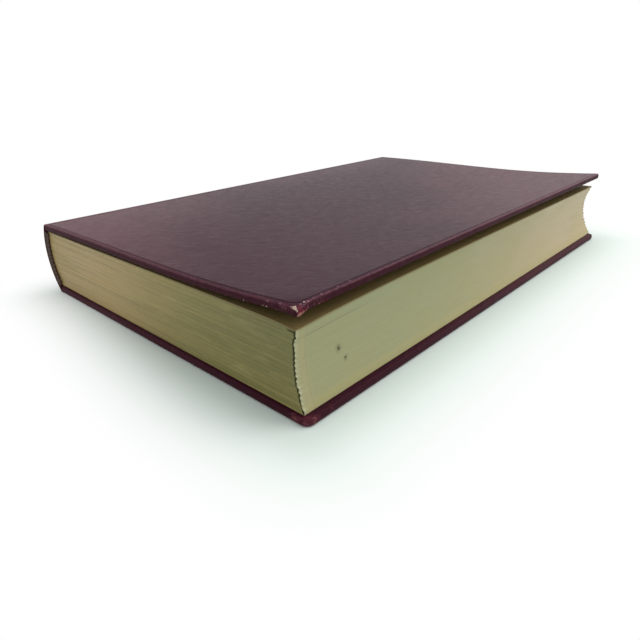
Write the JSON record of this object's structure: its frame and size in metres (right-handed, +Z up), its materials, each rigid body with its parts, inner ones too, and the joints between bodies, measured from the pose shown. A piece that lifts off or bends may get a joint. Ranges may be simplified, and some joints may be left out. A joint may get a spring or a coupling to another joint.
{
  "type": "hardback book",
  "caption": "Leather-bound hardback book lying flat, with a rounded spine, gilt page edges, endpapers and two covers that open at the joints.",
  "frame": {"origin": "middle of the back cover's outer face, which rests on the table", "axes": "+X from the spine to the fore-edge, +Y from the tail to the head of the pages, +Z up from the back cover to the front cover"},
  "size_m": [0.1414, 0.222, 0.0334],
  "materials": {
    "leather": "semi-gloss fine grain, dark burgundy",
    "gilt_paper": "leaves with dull gilt edges",
    "endpaper": "matt olive paper",
    "board": "grey-brown binder's board",
    "lining": "unbleached cloth and paper",
    "band": "dark red silk thread"
  },
  "bodies": {
    "text_block": {"text_block": "gilt_paper", "spine_lining": "lining", "spine_leather": "leather", "head_band": "band", "tail_band": "band", "front_flyleaf": "endpaper", "back_flyleaf": "endpaper"},
    "front_cover": {"front_board": "board", "front_cover_leather": "leather", "front_pastedown": "endpaper"},
    "back_cover": {"back_board": "board", "back_cover_leather": "leather", "back_pastedown": "endpaper"}
  },
  "joints": [
    {"name": "front_joint", "type": "hinge", "parent": "text_block", "child": "front_cover", "pos_m": [-0.071, 0, 0.0273], "axis": [0, -1, 0], "range_deg": [0, 177.4]},
    {"name": "back_joint", "type": "hinge", "parent": "text_block", "child": "back_cover", "pos_m": [-0.0675, 0, 0], "axis": [0, 1, 0], "range_deg": [0, 177.4]}
  ]
}
